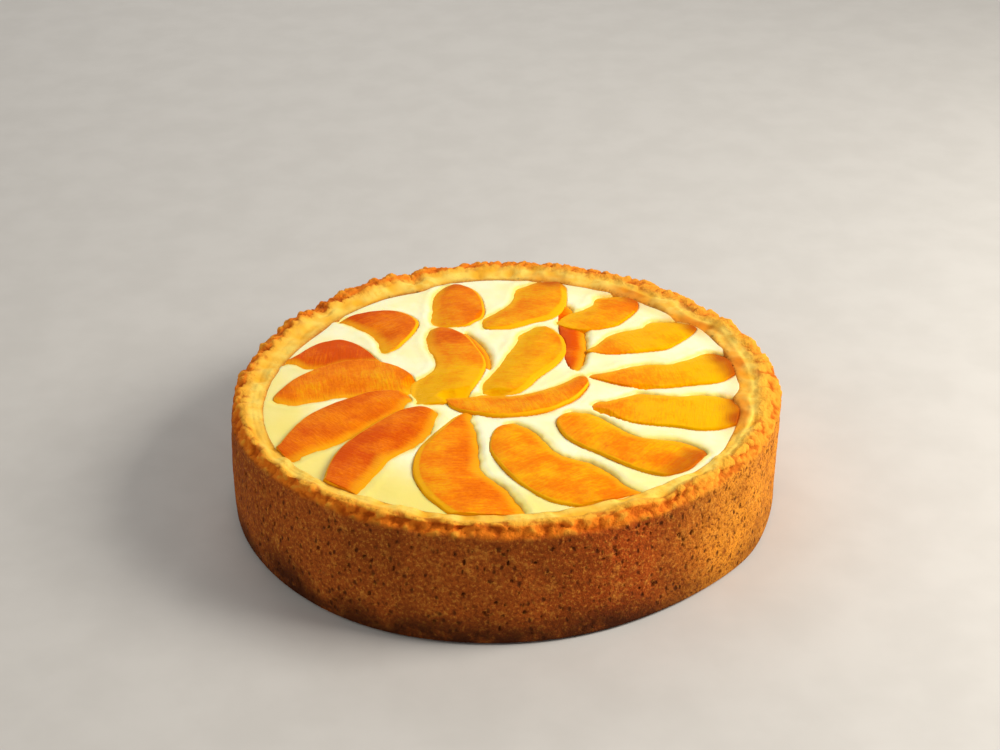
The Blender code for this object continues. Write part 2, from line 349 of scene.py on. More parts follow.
# Soft studio light: a strong warm lamp at the right, weaker ones behind and at the left

lamps = {
    # name: (place in metres, side in metres, watts, colour)
    "key": ((0.66, -0.08, 0.50), 0.40, 8.2, (1.0, 0.95, 0.87)),
    "behind": ((-0.15, 0.75, 0.60), 0.60, 2.1, (1.0, 0.98, 0.95)),
    "left": ((-0.75, -0.30, 0.45), 0.60, 1.6, (1.0, 0.97, 0.93)),
}
room = {"colour": (1.0, 0.98, 0.95), "strength": 0.26}


# Each lamp stands at its place and faces the middle of the pie's underside
def makeLights():
    for name, (place, side, watts, colour) in lamps.items():
        lamp = bpy.data.lights.new(name, "AREA")
        lamp.size = side
        lamp.energy = watts
        lamp.color = colour
        holder = bpy.data.objects.new(name, lamp)
        back = np.array(place) / np.linalg.norm(place)
        right = np.cross((0, 0, 1), back)
        right /= np.linalg.norm(right)
        columns = np.stack([right, np.cross(back, right), back, place], axis=1)
        holder.matrix_world = Matrix([*columns.tolist(), [0, 0, 0, 1]])
        bpy.context.scene.collection.objects.link(holder)
    world = bpy.data.worlds.new("room")
    world.use_nodes = True
    background = world.node_tree.nodes["Background"]
    background.inputs["Color"].default_value = (*room["colour"], 1.0)
    background.inputs["Strength"].default_value = room["strength"]
    bpy.context.scene.world = world
    bpy.context.scene.view_settings.view_transform = "Standard"


makeLights()
print("lights set")


# The floor, which isn't part of the pie

floor = {
    "side": 6.0,  # metres
    "below": 0.0002,
    "colour": (0.60, 0.58, 0.55),
    "speckle": (0.57, 0.55, 0.52),
    "grain": 40.0,  # noise cells a metre
    "roughness": 0.75,
}


def makeFloor():
    half = floor["side"] / 2 / mm
    z = -floor["below"] / mm
    points = np.array([(-half, -half, z), (half, -half, z), (half, half, z), (-half, half, z)])
    finish = Finish("floor")
    grain = finish.noise(finish.coordinates["Object"], floor["grain"])
    colour = finish.layer(floor["colour"], floor["speckle"], grain, 0.3, 0.7)
    material = finish.done(colour, Roughness=floor["roughness"])
    ground = makePiece("floor", points, np.array([[0, 1, 2, 3]]), np.zeros((0, 3), int), material)


makeFloor()
print("floor made")


# The crust: one section turned round the middle, with pits in the wall and a crumbly rim

crust = {
    "wallRadius": 100.6,
    "bottomRounding": 1.6,
    "crestShare": 0.4,  # how far in the crest lies, as a share of the rim's width
    "floor": 6.0,
    "rimRadii": (  # every 20 degrees from +X towards +Y
        (101.2, 99.8, 99.3, 99.9, 99.8, 100.4, 98.8, 98.8, 97.6)
        + (98.4, 98.6, 97.4, 97.0, 96.6, 97.8, 98.6, 99.2, 100.6)
    ),
    "wallBulges": ((243, 20, 1.1), (303, 18, -1.1), (328, 9, 0.9)),  # degrees, half width, height
    "rimFeatures": (
        (113, 2.2, -2.4),
        (121, 5.0, 1.0),
        (150, 3.2, 1.3),
        (141, 2.0, -1.5),
        (303, 2.6, -1.3),
        (296, 3.5, 1.1),
        (22, 3.5, 1.2),
        (340, 2.5, -1.1),
        (90, 28, 0.5),
    ),
    "wallKeys": ((10.0, 0.0), (19.0, 0.2), (28.0, 0.5), (35.5, 0.9)),  # height, share of the lean
    "widest": (0.2, 39.5),  # past the rim's radius, and height
    "shoulder": (1.6, 2.0),  # in from the rim, and below the crest
    "crestKeys": ((0.55, 0.5), (1.0, 0.0), (1.5, 0.4)),  # insets in from the rim, below the crest
    "slopeFoot": (0.8, 0.5, 0.9),  # insets out from the mouth, less this much, and above the filling
    "lip": 0.6,  # how far under the filling's level the dough meets it
    "hiddenKeys": ((1.8, 5.0), (7.0, 0.0)),  # in from the inside radius, above the floor
    "sides": 960,
    "rings": 100,
    "lastShown": 13,  # number of the last key that shows; three more are hidden
    "ragged": ((6.0, 0.35),),  # size and reach, in keys, of the unevenness of the zones' borders
    "zones": {  # key numbers between which each zone starts or ends
        "wallStart": (1.5, 3.0),
        "wallEnd": (6.9, 7.7),
        "fringeStart": (6.0, 6.8),
        "fringeEnd": (8.6, 10.0),
        "rimStart": (6.8, 7.5),
        "rimEnd": (12.4, 13.0),
        "innerStart": (9.7, 11.0),
        "juiceAndShadeStart": (11.0, 12.4),
    },
    "back": (-0.2, 0.9),  # the back starts and is full at these sines of the angle
    "fringeAtBack": 1.1,  # how many keys further in the fringe ends at the back
    "innerAtBack": 0.3,
    "wallSwells": ((24.0, 0.5, 0), (9.0, 0.2, 1), (1.9, 0.14, 6)),  # size, height and seed
    "crags": ((17.0, 0.9), (7.0, 0.8)),  # size and height of the rim's unevenness
    "crumbs": ((5.0, 1.9), (2.5, 1.3)),  # size and height of the crumbs on the rim
    "crumbForm": (0.55, 0.5),  # distance in cells where a crumb ends, and how much its number does
    "crumbsOffFringe": 0.35,  # their share of height off the fringe
    "crumbsLostInside": 0.6,
    "cragsLostInside": 0.35,
    "lumps": ((9.0, 0.8), (4.5, 0.45)),  # size and height of the swells inside the rim
    "warp": (3.0, 0.8),  # size and reach of the shift that leaves crumbs and pits uneven
    "pits": (  # spacing, share of the cells that have one, radius in cells, depth
        (6.0, 0.45, 0.22, 0.9),
        (3.6, 0.70, 0.26, 0.7),
        (2.6, 0.60, 0.30, 0.5),
    ),
    "pitSqueeze": (1.0, 1.0, 0.7),  # heights count less, so the pits stand upright
    "hollows": (-0.6, 0.3),  # lump heights of a full hollow and of none
    # degrees, half width and strength of the juice stains, which also stand for painted shade and shadow
    # of the rim at the right
    "juiceAndShadeSpots": ((6, 8, 1.0), (29, 8, 1.0), (-17, 9, 1.0), (52, 9, 0.9), (76, 6, 0.6)),
    "ruddy": ((-66, 15, 1.0),),
    "goldenAndLitFrom": (-68.0, -38.0),  # degrees between which the brown wall turns golden towards the lamp at the right: partly its own bake, partly painted light
    "goldenAndLitTo": (45.0, 105.0),  # and brown again
}


# The crust's section as keys of radius and height, from under the edge to inside
def crustKeys(angle):
    rim = roundCurve(crust["rimRadii"], angle)
    wall = crust["wallRadius"] + humps(angle, crust["wallBulges"])
    mouth = mouthRadius(angle)
    inset = crust["crestShare"] * (rim - mouth)
    crest = pie["height"] + humps(angle, crust["rimFeatures"])
    lean = rim - wall
    rounding = crust["bottomRounding"]
    level = pie["fillingLevel"]
    inside = pie["insideRadius"]
    past, widestHeight = crust["widest"]
    shoulderIn, shoulderDrop = crust["shoulder"]
    footShare, footIn, footRise = crust["slopeFoot"]
    same = np.ones_like(angle)
    keys = (
        (wall - rounding, 0 * same),  # 0
        (wall - 0.3 * rounding, 0.3 * rounding * same),
        (wall, rounding * same),
        *((wall + share * lean, height * same) for height, share in crust["wallKeys"]),  # 3 to 6
        (rim + past, widestHeight * same),
        (rim - shoulderIn, crest - shoulderDrop),
        *((rim - share * inset, crest - drop) for share, drop in crust["crestKeys"]),  # 9 to 11
        (mouth + footShare * inset - footIn, (level + footRise) * same),
        (mouth, (level - crust["lip"]) * same),  # 13, the last that shows
        (mouth, (level - pie["mouthDepth"]) * same),
        *(((inside - step) * same, (crust["floor"] + rise) * same) for step, rise in crust["hiddenKeys"]),
    )
    return np.array([np.stack(key, -1) for key in keys])


# Key numbers of the rings: evenly spaced where the crust shows, and one at each hidden key
def crustRings():
    last = crust["lastShown"]
    shown = np.linspace(0, last, 400)
    section = throughKeys(crustKeys(np.zeros(1)), shown)[:, 0]
    length = np.concatenate([[0], np.cumsum(np.linalg.norm(np.diff(section, axis=0), axis=1))])
    even = np.interp(np.linspace(0, length[-1], crust["rings"]), length, shown)
    return np.concatenate([even, last + np.arange(1, 4)])


# Unit normals of a grid of points that is closed round, pointing out of the crust: the
# cross product of the steps along and round it
def outward(grid):
    along = np.gradient(grid, axis=0)
    around = np.roll(grid, -1, axis=1) - np.roll(grid, 1, axis=1)
    normal = np.cross(around, along)
    return normal / np.maximum(np.linalg.norm(normal, axis=-1, keepdims=True), 1e-9)


# How far each point belongs to the wall, the rim, its brown fringe and its pale inside:
# 0 to 1, eased between key numbers, with ragged borders that lie further in at the back
def crustZones(angle, key, ragged):
    zones = crust["zones"]
    place = key + ragged
    back = ease(*crust["back"], np.sin(angle))
    onWall = ease(*zones["wallStart"], key) * (1 - ease(*zones["wallEnd"], place))
    onRim = ease(*zones["rimStart"], place) * (1 - ease(*zones["rimEnd"], key))
    fringeEnd = ease(*zones["fringeEnd"], place - crust["fringeAtBack"] * back)
    fringe = ease(*zones["fringeStart"], place) * (1 - fringeEnd)
    inner = ease(*zones["innerStart"], place - crust["innerAtBack"] * back)
    return onWall, onRim, fringe, inner


# Crumbs, up where a cobble's point is near and down in the gaps: middle less the distance,
# and more or less by its number
def crumbHeight(points):
    middle, uneven = crust["crumbForm"]
    total = np.zeros(points.shape[:-1])
    for size, height in crust["crumbs"]:
        near, tag = cobbles(points, size, 1)
        total += height * (middle - near + uneven * (tag - 0.5))
    return total


# Pits: a share of the cells has one, and its number says how wide it is
def pitDepth(points):
    total = np.zeros(points.shape[:-1])
    for spacing, share, radius, depth in crust["pits"]:
        near, tag = cobbles(points * np.array(crust["pitSqueeze"]), spacing, 2)
        size = radius * (0.4 + 0.6 * tag / share)
        hole = (tag < share) * (1 - ease(0.45 * size, size, near))
        total = np.maximum(total, depth * hole)
    return total


# Where peach juice has stained the edge between filling and dough, with painted shade and shadow of the
# rim at the right, 0 to 1
def juiceAndShaded(angle):
    return np.clip(humps(angle, crust["juiceAndShadeSpots"]), 0, 1)


# Each ring stands at its radius and height, then moves along the outward normal by the
# sum of swells, crumbs and pits, each weighed by where it is on the section
def makeCrust(material):
    angle = np.arange(crust["sides"]) / crust["sides"] * fullTurn
    places = crustRings()
    section = throughKeys(crustKeys(angle), places)
    around = np.stack([np.cos(angle), np.sin(angle)], -1)
    grid = np.concatenate([section[..., :1] * around, section[..., 1:]], -1)
    normal = outward(grid)

    key = places[:, None] * np.ones(crust["sides"])
    ragged = swells(grid, crust["ragged"], 7)
    onWall, onRim, fringe, inner = crustZones(angle, key, ragged)
    warpSize, warpReach = crust["warp"]
    warp = np.stack([swell(grid, warpSize, seed) for seed in (3, 4, 5)], -1)
    warped = grid + warpReach * warp
    crumb = crumbHeight(warped)
    lump = swells(grid, crust["lumps"], 8)
    pit = pitDepth(warped)
    shift = onWall * sum(height * swell(grid, size, seed) for size, height, seed in crust["wallSwells"])
    shift += onRim * (1 - crust["cragsLostInside"] * inner) * swells(grid, crust["crags"], 2)
    crumbly = crust["crumbsOffFringe"] + (1 - crust["crumbsOffFringe"]) * fringe
    shift += onRim * crumbly * (1 - crust["crumbsLostInside"] * inner) * crumb
    shift += onRim * inner * lump - onWall * pit
    grid = grid + shift[..., None] * normal
    grid[..., 2] = np.maximum(grid[..., 2], 0.0)
    grid[0, :, 2] = 0.0

    azimuth = (np.degrees(angle) + 180) % 360 - 180
    # golden towards the lamp at the right: partly the crust's own bake, partly painted light
    goldenAndLit = ease(*crust["goldenAndLitFrom"], azimuth) * (1 - ease(*crust["goldenAndLitTo"], azimuth))
    values = {
        "pit": pit * onWall,
        "rim": onRim,
        "fringe": fringe,
        "inner": inner,
        "ruddy": humps(angle, crust["ruddy"]) * onWall,
        "crumb": crumb,
        "goldenAndLit": goldenAndLit * np.ones_like(key),
        # the hollows between the lumps of the pale band, where it takes painted shade
        "hollow": 1 - ease(*crust["hollows"], lump),
        "juiceAndShade": juiceAndShaded(angle) * ease(*crust["zones"]["juiceAndShadeStart"], key + 2 * ragged),
    }
    values = {label: np.append(value.ravel(), [0, 0]) for label, value in values.items()}
    poles = np.array([[0.0, 0.0, 0.0], [0.0, 0.0, crust["floor"]]])
    points = np.concatenate([grid.reshape(-1, 3), poles])
    quads, triangles = skinFaces(len(places), crust["sides"])
    piece = makePiece("crust_baked", points, quads, triangles, material, values)
    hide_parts("crust")
    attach(piece, "root")


crustLooks = {
    "brown": (0.43, 0.094, 0.012),
    "ruddy": (0.44, 0.060, 0.006),
    # the wall's colour towards the lamp: partly its own golden bake, partly painted light
    "goldenAndLit": (0.85, 0.31, 0.024),
    "wallDeep": (0.22, 0.045, 0.006),
    "wallPale": (0.78, 0.32, 0.045),
    # pits and pores take this dark colour: painted shade in the recesses
    "pit": (0.065, 0.014, 0.003),
    "scorchedAndShaded": (0.06, 0.014, 0.004),
    "crest": (0.91, 0.43, 0.040),
    "fringe": (0.86, 0.215, 0.012),
    "gapShade": (0.48, 0.080, 0.004),
    "inner": (0.93, 0.65, 0.12),
    "innerShade": (0.90, 0.44, 0.03),
    "juiceAndShade": (0.60, 0.15, 0.003),
    "freckles": (  # laid over the wall in this order: noise, from, to, most, colour
        ("broad", 0.60, 0.36, 0.45, "wallDeep"),
        ("middle", 0.52, 0.75, 0.50, "wallPale"),
        ("middle", 0.46, 0.26, 0.65, "wallDeep"),
        ("fine", 0.52, 0.68, 0.55, "wallPale"),
        ("fine", 0.50, 0.34, 0.85, "wallDeep"),
    ),
    "scales": {  # cells a metre
        "broad": 45.0,
        "patches": 75.0,
        "smudges": 90.0,
        "middle": 210.0,
        "pores": 330.0,
        "uneven": 500.0,
        "grain": 640.0,
        "fine": 850.0,
    },
    "unevenBy": 0.0016,  # metres that pores and grain are pushed about
    "upright": (1.0, 1.0, 0.7),
    "scorchAndShadeHeights": (0.001, 0.015),  # metres: full scorch and painted shade, and none
    "scorchAndShadeUneven": 0.03,
}


# The noises and spots that the crust's colours and its relief share
def crustFields(finish):
    place = finish.coordinates["Object"]
    scales = crustLooks["scales"]
    upright = finish.stretched(place, crustLooks["upright"])
    upright = finish.uneven(upright, scales["uneven"], crustLooks["unevenBy"])
    pores = finish.spots(upright, scales["pores"], radius=0.30, softness=0.24)
    patches = finish.noise(place, scales["patches"], detail=5.0, roughness=0.65)
    patches = finish.spread(patches, 0.36, 0.56, 0.72, 1.0)
    return {
        "broad": finish.noise(place, scales["broad"], detail=4.0),
        "smudges": finish.noise(place, scales["smudges"], detail=5.0, roughness=0.7),
        "middle": finish.noise(place, scales["middle"], detail=4.0, roughness=0.65),
        "fine": finish.noise(place, scales["fine"], detail=3.0, roughness=0.7),
        "grain": finish.spots(upright, scales["grain"], radius=0.36, softness=0.26),
        "hole": finish.math("MAXIMUM", finish.spread(finish.attribute("pit"), 0.1, 0.8), pores),
        "goldenAndLit": finish.math("MULTIPLY", finish.attribute("goldenAndLit"), patches),
    }


# How dark the wall is, partly scorch and partly painted shade: most at its foot, up to an uneven edge and
# in smudges, and less where it is golden
def scorchAndShade(finish, fields):
    axes = finish.node("ShaderNodeSeparateXYZ")
    finish.feed(axes.inputs[0], finish.coordinates["Object"])
    middled = finish.math("SUBTRACT", fields["broad"], 0.5)
    uneven = finish.math("MULTIPLY", middled, crustLooks["scorchAndShadeUneven"])
    height = finish.math("ADD", axes.outputs["Z"], uneven)
    foot = finish.spread(height, *crustLooks["scorchAndShadeHeights"], 1.0, 0.0)
    foot = finish.math("MULTIPLY", foot, finish.spread(fields["smudges"], 0.30, 0.54, 0.40, 1.0))
    pale = finish.spread(finish.attribute("goldenAndLit"), 0.2, 0.9, 1.0, 0.35)
    return finish.math("MULTIPLY", foot, pale)


# Brown wall, golden at the right, partly its own bake and partly painted light where the lamp falls, with
# freckles, fine grain, a foot darkened by scorch and painted shade, and pits darkened with painted shade
def wallColour(finish, fields):
    looks = crustLooks
    wall = finish.mix(fields["goldenAndLit"], looks["brown"], looks["goldenAndLit"])
    wall = finish.tint(wall, looks["ruddy"], finish.attribute("ruddy"), 0.7)
    for field, low, high, most, shade in looks["freckles"]:
        wall = finish.layer(wall, looks[shade], fields[field], low, high, most)
    wall = finish.tint(wall, looks["wallDeep"], fields["grain"], 0.5)
    # a darker foot, partly scorch and partly painted shade
    wall = finish.mix(scorchAndShade(finish, fields), wall, looks["scorchedAndShaded"])
    # pits and pores darkened: painted shade in the recesses
    return finish.tint(wall, looks["pit"], fields["hole"], 0.8)


# Golden crest and crumbs, their tops lighter with a painted highlight, with a browner fringe and
# red-brown gaps outside it, partly painted shade, and inside a pale band that is deeper orange with
# painted shade in its hollows and stained by juice, with painted shade, at its edge
def rimColour(finish, fields):
    looks = crustLooks
    middle, crumb = fields["middle"], finish.attribute("crumb")
    brown = finish.math("ADD", finish.attribute("fringe"), finish.math("SUBTRACT", middle, 0.5))
    # the fringe turns golden with the wall towards the lamp: partly painted light
    fringe = finish.tint(looks["fringe"], looks["crest"], fields["goldenAndLit"], 0.6)
    top = finish.layer(looks["crest"], fringe, brown, 0.25, 0.95)
    # crumb tops lighter: partly their own paler colour, partly painted highlight
    top = finish.layer(top, looks["crest"], crumb, 0.2, 1.1, 0.65)
    # gaps between crumbs darker: partly their own red-brown, partly painted shade
    top = finish.layer(top, looks["gapShade"], crumb, 0.1, -0.7, 0.75)
    # painted shade: the pale band more orange in the hollows between its lumps, and also in random
    # patches
    patchy = finish.spread(middle, 0.55, 0.35, 0.0, 0.6)
    shade = finish.math("MAXIMUM", finish.attribute("hollow"), patchy)
    pale = finish.mix(shade, looks["inner"], looks["innerShade"])
    top = finish.mix(finish.attribute("inner"), top, pale)
    # juice stains at the edge, partly painted shade of the rim's inner side
    top = finish.tint(top, looks["juiceAndShade"], finish.attribute("juiceAndShade"), 0.9)
    return finish.layer(top, looks["fringe"], fields["fine"], 0.45, 0.30, 0.20)


# The wall's and the rim's colours, over a relief that is softer on the pale band
def crustMaterial():
    finish = Finish("baked_shortcrust")
    fields = crustFields(finish)
    onRim = finish.attribute("rim")
    colour = finish.mix(onRim, wallColour(finish, fields), rimColour(finish, fields))
    baked = finish.math("MULTIPLY", finish.attribute("inner"), 0.75)
    baked = finish.math("SUBTRACT", 1.0, baked)
    offRim = finish.math("SUBTRACT", 1.0, onRim)
    relief = finish.bump(finish.math("MULTIPLY", fields["middle"], baked), 0.0012, 0.7)
    relief = finish.bump(finish.math("MULTIPLY", fields["fine"], baked), 0.0007, 0.9, relief)
    relief = finish.bump(finish.math("MULTIPLY", fields["hole"], offRim), -0.0008, 0.7, relief)
    rough = finish.spread(fields["fine"], 0.3, 0.7, 0.70, 0.90)
    return finish.done(colour, relief, Roughness=rough, Specular_IOR_Level=0.06)


# The slices: each lies along a bowed line from its inner tip to its outer one

Slice = namedtuple("Slice", "inner outer bow width innerRound outerRound lift sharpSide")

slices = {
    # name: inner tip, outer tip, bow, width, roundness of the two tips, lift, and the sharp,
    # raised side: 1 left of the line, -1 right
    "under_right": Slice((27, 7), (25, 60), -1.5, 10, 0.5, 0.5, -0.3, 1),
    "under_left": Slice((-5, 9), (-14, 38), -1.0, 6, 0.6, 0.6, -0.2, 1),
    "west_north": Slice((-45, 16), (-83, 17), -5.5, 21, 0.9, 0.9, 0.0, -1),
    "north_east": Slice((23, 42), (52, 66), -3.5, 22, 0.4, 0.43, 0.0, -1),
    "north_west": Slice((-17, 43), (-19, 79), -0.5, 22, 0.35, 0.44, 0.1, -1),
    "back_west": Slice((-42, 24), (-59, 53), -9.5, 23, 0.5, 0.3, 0.1, -1),
    "east": Slice((32, 2), (86, 9), -2.5, 23, 0.6, 0.25, 0.1, -1),
    "east_north": Slice((32, 21), (75, 41), -0.5, 23, 0.8, 0.6, 0.1, -1),
    "east_south": Slice((32, -19), (85, -26), 0.5, 27, 0.5, 0.25, 0.1, -1),
    "south_east": Slice((21, -25), (66, -58), -5.0, 23, 0.28, 0.18, 0.2, -1),
    "south": Slice((0, -31), (40, -82), -7.0, 28, 0.37, 0.2, 0.2, -1),
    "south_west": Slice((-13, -22), (-3, -91), -10.5, 27, 0.5, 0.16, 0.3, -1),
    "west": Slice((-31, -1), (-83, -10), -8.0, 28, 0.4, 0.6, 0.3, -1),
    "north": Slice((-6, 41), (22, 80), -4.5, 25, 0.6, 0.4, 0.4, -1),
    "west_south": Slice((-34, -9), (-76, -50), -4.5, 21, 0.35, 0.3, 0.6, -1),
    "middle_right": Slice((17, 41), (-4, -10), 2.5, 19, 0.35, 0.35, 0.4, 1),
    "middle_left": Slice((-24, 42), (-25, -16), 6.5, 23, 0.4, 0.25, 0.5, 1),
    "front_west": Slice((-26, -20), (-56, -72), -2.0, 21, 0.3, 0.22, 0.9, -1),
    "middle_front": Slice((31, 0), (-20, -15), 9.0, 17, 0.28, 0.26, 0.6, 1),
}

# How far the cream laps over a slice's lower side, at eight even steps from the inner
# tip to the outer
creamLaps = {
    "west_north": (1.5, 2.5, 3.0, 2.5, 1.0, 0.5, 2.0, 1.0),
    "north_east": (3.0, 1.5, 1.0, 3.0, 2.5, -1.5, 1.0, 1.0),
    "north_west": (-2.0, -1.0, 0.5, 1.5, 1.5, 1.0, 1.0, 1.0),
    "back_west": (0.0, 0.5, 1.5, 1.7, 2.0, 2.0, 2.0, 2.0),
    "east": (1.0, 2.5, 1.0, 1.5, 5.0, 2.0, -1.5, 0.0),
    "east_north": (1.0, 2.0, 0.5, 2.0, 4.0, 0.0, 2.0, 1.0),
    "east_south": (2.5, 3.0, 0.0, 2.5, 4.0, 1.5, 1.5, 2.0),
    "south_east": (1.5, -1.0, 0.5, 2.5, 3.5, -0.5, -1.0, -0.5),
    "south": (2.0, 0.0, 2.0, 3.5, -0.5, -0.5, 2.0, 3.0),
    "south_west": (3.0, 0.7, 0.0, 1.3, 2.5, -1.0, -0.8, -0.5),
    "west": (1.5, 1.0, 1.0, 2.0, 2.0, 0.5, -1.0, 0.0),
    "north": (0.5, -0.5, 2.0, 3.5, 2.5, -1.0, 1.0, 3.0),
    "west_south": (3.2, 0.0, -0.7, -0.7, -0.7, 0.5, 2.0, 2.0),
    "middle_right": (1.0, -1.0, 1.0, 1.0, 1.5, 1.0, 0.0, 0.5),
    "middle_left": (1.0, 0.0, 1.5, 4.5, 4.5, -2.0, -1.0, 3.0),
    "front_west": (3.5, 0.5, -0.5, 1.0, 4.5, 3.5, 2.3, 1.8),
    "middle_front": (-1.0, 2.0, 3.0, 3.0, 3.0, -1.0, 0.5, 3.0),
}

# How far the sharp side stands out past the plain form, at the same steps
sharpEdges = {
    "west_north": (-1.5, 0.0, 1.0, 1.5, 0.5, -1.0, -3.0, -1.0),
    "north_east": (0.0, 0.5, 0.5, 0.5, -0.5, -0.5, 0.0, 0.0),
    "north_west": (-2.0, 0.0, 0.5, 0.0, 0.0, 0.0, 0.0, -1.0),
    "back_west": (-1.5, -2.0, -1.0, 0.0, 0.0, 0.5, 1.5, 1.0),
    "east": (-1.5, 0.0, 1.5, 1.0, -0.5, -0.5, 0.5, -1.0),
    "east_north": (0.0, 0.5, -0.5, -0.5, 0.5, -0.5, -0.5, 0.0),
    "east_south": (-1.0, -0.5, 0.5, 0.0, -0.5, 0.5, 0.0, -2.0),
    "south_east": (-1.0, 0.0, -0.5, -1.5, -1.0, 0.5, 2.0, 3.0),
    "south": (-1.0, 0.5, -0.5, -1.0, -1.0, -0.8, -2.0, -4.0),
    "south_west": (-0.5, -1.2, 0.5, 0.5, 0.0, -1.0, -2.0, -2.0),
    "west": (0.0, 0.5, 0.5, 0.5, -0.5, -0.5, -0.5, -1.5),
    "north": (1.5, 0.5, -0.5, 1.0, 0.0, -1.0, -2.0, -1.0),
    "west_south": (0.5, 0.8, -0.2, -0.2, -0.2, -1.2, -2.0, -2.0),
    "middle_right": (-0.5, 2.5, 3.5, 3.0, 1.5, 0.5, 1.5, 2.5),
    "middle_left": (0.0, 0.5, -0.5, 0.5, 0.5, -0.5, 0.0, 2.5),
    "front_west": (0.5, 0.5, 0.3, 0.5, 1.0, 0.6, -0.7, -2.0),
    "middle_front": (-0.5, 0.5, 0.5, 0.5, 0.5, 0.5, 0.0, 0.5),
}
plainEdge = (0.0,) * 8

sliceShape = {
    "depth": 10.0,
    "dome": 0.9,
    "tilt": 1.0,
    "flatten": 0.6,  # power of the fullness that dome, tilt and depth go by
    "stations": 110,
    "topPoints": 51,
    "outlinePoints": 64,
    "keel": (  # the underside: place across and share of the depth
        ((1.0, 0.12), (0.97, 0.22), (0.85, 0.42), (0.5, 0.8))
        + ((0.2, 1.0), (-0.3, 0.85), (-0.75, 0.6), (-0.97, 0.3))
    ),
    "intoDough": 0.5,
    "mostLap": 0.6,  # the cream goes no further past the middle than this share of the sharp side
    "underCream": 2.2,  # how far the lower side reaches past the cream's edge
    "underFall": 0.5,  # how fast it falls away there
    "underTips": 0.12,  # that reach fades over this share at either tip
    "edgeRadius": 0.6,
    "tipShare": 0.10,  # the edges' unevenness fades over this share at either tip
    "nearTip": 0.02,  # faces are read no closer to a tip than this
    "wobbleSize": 7.0,
    "sway": 0.35,  # how far the edges sway to and fro
    "bevelWobble": 0.3,
    "bandFull": 0.25,  # the pale band is full this far up the bevel
    "juiceAndShaded": (0.80, 0.97),  # the juice stain, partly painted shadow of the rim, starts and is full at these shares of the line
    "glow": (0.5, 4.5),  # distances from the cream's edge between which its glow fades
    "glowWobble": 1.2,
    "uvSpan": 100.0,  # millimetres to one unit of the map
    "relief": ((9.0, 0.20), (3.0, 0.10)),  # size and height of the face's unevenness
}


# Start, direction, length and left-hand normal of a slice's line
def unpack(form):
    inner, outer = np.array(form.inner, float), np.array(form.outer, float)
    length = np.linalg.norm(outer - inner)
    ahead = (outer - inner) / length
    return inner, ahead, length, np.array([-ahead[1], ahead[0]])


# The width's share along the line: (s / p)^a ((1 - s) / (1 - p))^b, largest at p
def fullness(form, s):
    a, b = form.innerRound, form.outerRound
    p = a / (a + b)
    s = np.clip(s, 1e-6, 1 - 1e-6)
    return (s / p) ** a * ((1 - s) / (1 - p)) ** b


# Half of the plain form's width along the line
def plainHalf(form, s):
    return 0.5 * form.width * fullness(form, s)


# Points on the bowed middle line: start + s line + 4 s (1 - s) bow left
def middleLine(form, s):
    inner, ahead, length, left = unpack(form)
    return inner + s[..., None] * length * ahead + (4 * s * (1 - s) * form.bow)[..., None] * left


# Height of the cut face: the filling's level, lifted, tilted and slightly domed
def sliceTop(form, s, across):
    size = fullness(form, s) ** sliceShape["flatten"]
    dome = size * sliceShape["dome"] * (1 - across**2)
    tilt = size * sliceShape["tilt"] * form.sharpSide * across
    return pie["fillingLevel"] + form.lift + tilt + dome


# How far the slice shows from its middle line, on its lower side and on its sharp side
def shownReach(name, s):
    form = slices[name]
    laps = np.array(creamLaps.get(name, plainEdge))
    sharps = np.array(sharpEdges.get(name, plainEdge))
    half = plainHalf(form, s) * (s > 0) * (s < 1)
    keys = np.clip(s, 0, 1) * (len(laps) - 1)
    share = sliceShape["tipShare"]
    fade = ease(0, share, s) * ease(0, share, 1 - s)
    sharp = np.maximum(half + fade * throughKeys(sharps, keys), 0)
    lower = np.maximum(half - fade * throughKeys(laps, keys), -sliceShape["mostLap"] * sharp)
    return lower, sharp


# Points drawn in so that none passes far into the dough
def keptInside(points):
    radius = np.hypot(points[..., 0], points[..., 1])
    limit = mouthRadius(np.arctan2(points[..., 1], points[..., 0])) + sliceShape["intoDough"]
    points = points.copy()
    points[..., :2] *= np.minimum(1, limit / np.maximum(radius, 1e-6))[..., None]
    return points


# The outline of what shows of a slice from above, as a closed ring of points
def shownOutline(name):
    form = slices[name]
    left = unpack(form)[3]
    s = 0.5 - 0.5 * np.cos(np.linspace(0, math.pi, sliceShape["outlinePoints"]))
    middle = middleLine(form, s)
    lower, sharp = shownReach(name, s)
    sharpEdge = middle + (sharp * form.sharpSide)[:, None] * left
    lowerEdge = middle - (lower * form.sharpSide)[:, None] * left
    return keptInside(np.concatenate([sharpEdge, lowerEdge[-2:0:-1]]))


# Where points lie on a slice: s along its line, and how far towards the sharp side
def alongSlice(form, x, y):
    inner, ahead, length, left = unpack(form)
    reach = np.stack([x - inner[0], y - inner[1]], -1)
    s = reach @ ahead / length
    bow = 4 * np.clip(s, 0, 1) * (1 - np.clip(s, 0, 1)) * form.bow
    return s, (reach @ left - bow) * form.sharpSide


